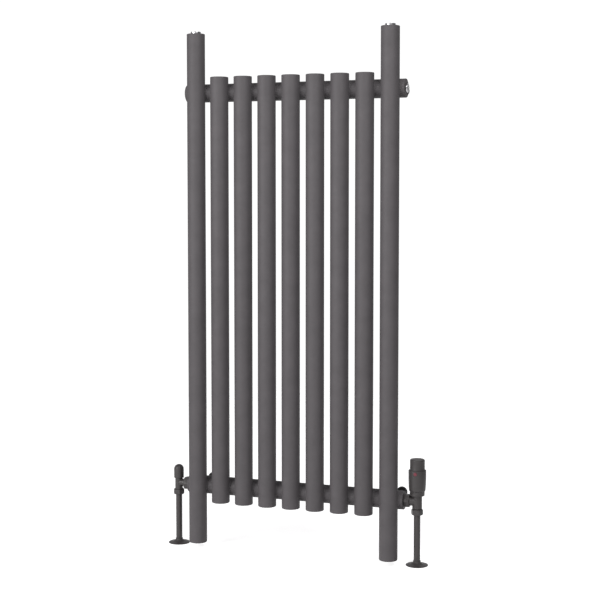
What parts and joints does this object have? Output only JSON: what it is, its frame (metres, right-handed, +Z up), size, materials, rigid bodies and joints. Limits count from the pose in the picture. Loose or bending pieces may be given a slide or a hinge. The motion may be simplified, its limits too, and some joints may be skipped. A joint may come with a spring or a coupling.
{
  "type": "radiator with valve",
  "caption": "Wall-hung vertical round-tube radiator with taller outer posts, a thermostatic valve at one lower end and a lockshield valve at the other.",
  "frame": {"origin": "on the wall plane at the finished floor, on the radiator's centre line", "axes": "+X along the radiator towards the thermostatic valve, +Y into the wall, +Z up"},
  "size_m": [0.643, 0.1262, 1.218],
  "materials": {
    "anthracite_paint": "satin powder coat",
    "valve_paint": "satin painted brass",
    "dark_paint": "satin",
    "brass": "machined",
    "steel": "machined",
    "chrome": "polished",
    "head_plastic": "fine satin",
    "sensor_plastic": "matt",
    "index_red": "gloss"
  },
  "bodies": {
    "radiator": {"post_left": "anthracite_paint", "post_right": "anthracite_paint", "tube_1": "anthracite_paint", "tube_2": "anthracite_paint", "tube_3": "anthracite_paint", "tube_4": "anthracite_paint", "tube_5": "anthracite_paint", "tube_6": "anthracite_paint", "tube_7": "anthracite_paint", "header_lower": "anthracite_paint", "header_upper": "anthracite_paint", "end_boss_lower_left": "anthracite_paint", "end_boss_lower_right": "anthracite_paint", "end_boss_upper_left": "anthracite_paint", "end_boss_upper_right": "anthracite_paint", "blind_plug": "anthracite_paint", "wall_lug_lower_left": "anthracite_paint", "wall_lug_lower_right": "anthracite_paint", "wall_lug_upper_left": "anthracite_paint", "wall_lug_upper_right": "anthracite_paint", "trv_pipe": "valve_paint", "trv_compression_nut": "valve_paint", "trv_union_nut": "valve_paint", "trv_body": "valve_paint", "lockshield_pipe": "valve_paint", "lockshield_compression_nut": "valve_paint", "lockshield_union_nut": "valve_paint", "lockshield_body": "valve_paint", "wall_stem_lower_left": "dark_paint", "wall_stem_lower_right": "dark_paint", "wall_stem_upper_left": "dark_paint", "wall_stem_upper_right": "dark_paint", "trv_olive": "brass", "trv_tail": "brass", "lockshield_olive": "brass", "lockshield_tail": "brass", "trv_insert": "brass", "lockshield_bonnet": "brass", "fixing_screw_lower_left": "steel", "fixing_screw_lower_right": "steel", "fixing_screw_upper_left": "steel", "fixing_screw_upper_right": "steel", "trv_return_spring": "steel", "post_plug_left": "chrome", "post_plug_right": "chrome", "vent_plug": "chrome", "trv_ring_nut": "head_plastic", "trv_sleeve": "head_plastic", "trv_index_dot": "index_red"},
    "trv_handwheel": {"trv_handwheel": "head_plastic"},
    "trv_sensor": {"trv_sensor": "sensor_plastic"},
    "trv_pin": {"trv_pin": "steel"},
    "bleed_screw": {"bleed_screw": "chrome"},
    "lockshield_cap": {"lockshield_cap": "head_plastic"},
    "lockshield_spindle": {"lockshield_spindle": "brass"},
    "trv_rose": {"trv_rose": "valve_paint"},
    "lockshield_rose": {"lockshield_rose": "valve_paint"}
  },
  "joints": [
    {"name": "trv_handwheel_turn", "type": "hinge", "parent": "radiator", "child": "trv_handwheel", "pos_m": [0.296, -0.081, 0.21], "axis": [0, 0, -1], "range_deg": [-120, 180]},
    {"name": "trv_sensor_slide", "type": "slide", "parent": "radiator", "child": "trv_sensor", "axis": [0, 0, -1], "range_m": [-0.0013, 0.00195]},
    {"name": "trv_pin_slide", "type": "slide", "parent": "radiator", "child": "trv_pin", "axis": [0, 0, -1], "range_m": [-0.0013, 0.00195], "deforming": ["trv_return_spring"]},
    {"name": "bleed_screw_turn", "type": "hinge", "parent": "radiator", "child": "bleed_screw", "pos_m": [0.266, -0.081, 1.077], "axis": [1, 0, 0], "range_deg": [0, 360]},
    {"name": "lockshield_spindle_turn", "type": "hinge", "parent": "radiator", "child": "lockshield_spindle", "pos_m": [-0.296, -0.081, 0.16], "axis": [0, 0, 1], "range_deg": [-540, 540]},
    {"name": "lockshield_cap_lift", "type": "slide", "parent": "radiator", "child": "lockshield_cap", "axis": [0, 0, 1], "range_m": [0, 0.03]},
    {"name": "trv_rose_slide", "type": "slide", "parent": "radiator", "child": "trv_rose", "axis": [0, 0, 1], "range_m": [0, 0.1]},
    {"name": "lockshield_rose_slide", "type": "slide", "parent": "radiator", "child": "lockshield_rose", "axis": [0, 0, 1], "range_m": [0, 0.1]}
  ],
  "couplings": [
    {"joint": "trv_sensor_slide", "follows": "trv_handwheel_turn", "m_per_rad": 0.000605},
    {"joint": "trv_pin_slide", "follows": "trv_handwheel_turn", "m_per_rad": 0.000605}
  ]
}
